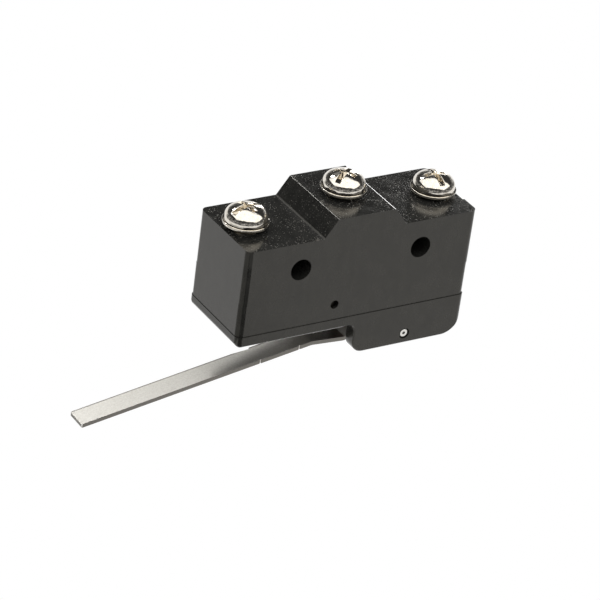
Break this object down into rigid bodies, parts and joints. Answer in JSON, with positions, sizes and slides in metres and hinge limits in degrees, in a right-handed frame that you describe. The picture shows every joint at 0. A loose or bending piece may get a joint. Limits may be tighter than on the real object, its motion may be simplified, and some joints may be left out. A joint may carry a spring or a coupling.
{
  "type": "snap-action lever switch",
  "caption": "Snap-action basic switch: stepped moulded housing with two cross holes, screw terminals on top and a long hinge lever below that works a plunger.",
  "frame": {"origin": "midway between the two mounting holes, on the housing's mid-plane", "axes": "+X along the row of mounting holes towards the hinge foot, +Y through the holes to the back, +Z towards the terminals"},
  "size_m": [0.075, 0.0176, 0.0421],
  "materials": {
    "phenolic": "black compression-moulded phenolic, semi-gloss",
    "plunger_moulding": "moulded phenolic, red-brown",
    "stainless": "rolled stainless sheet, satin, sheared edges",
    "pin_steel": "cut and tumbled steel wire",
    "plated_steel": "bright nickel plate",
    "terminal_brass": "turned and stamped brass, bright",
    "spring_copper": "rolled beryllium copper strip, satin",
    "silver": "headed silver, satin"
  },
  "bodies": {
    "housing": {"case": "phenolic", "cover": "phenolic", "cover_pin": "pin_steel", "hinge_pin": "pin_steel", "spring_rivet": "terminal_brass", "closed_contact": "silver", "open_contact": "silver", "closed_strip": "terminal_brass", "open_strip": "terminal_brass", "common_strip": "terminal_brass", "closed_bush": "terminal_brass", "closed_washer": "plated_steel", "closed_screw": "plated_steel", "open_bush": "terminal_brass", "open_washer": "plated_steel", "open_screw": "plated_steel", "common_bush": "terminal_brass", "common_washer": "plated_steel", "common_screw": "plated_steel"},
    "lever": {"lever": "stainless"},
    "plunger": {"plunger": "plunger_moulding"},
    "snap_leaf": {"snap_spring": "spring_copper", "moving_contact": "silver"}
  },
  "joints": [
    {"name": "lever_hinge", "type": "hinge", "parent": "housing", "child": "lever", "pos_m": [0.012, 0, -0.01814], "axis": [0, 1, 0], "range_deg": [0, 14], "stiffness_Nm_per_rad": 0.2, "springref_deg": -3.72},
    {"name": "plunger_slide", "type": "slide", "parent": "housing", "child": "plunger", "axis": [0, 0, 1], "range_m": [0, 0.00156]},
    {"name": "contact_snap", "type": "hinge", "parent": "housing", "child": "snap_leaf", "pos_m": [0.01018, 0, -0.0056], "axis": [0, 1, 0], "range_deg": [0, 1.15], "deforming": ["snap_spring"]}
  ],
  "couplings": [
    {"joint": "plunger_slide", "follows": "lever_hinge", "m_per_rad": 0.00633},
    {"joint": "contact_snap", "follows": "lever_hinge", "ratio": 0.08}
  ]
}
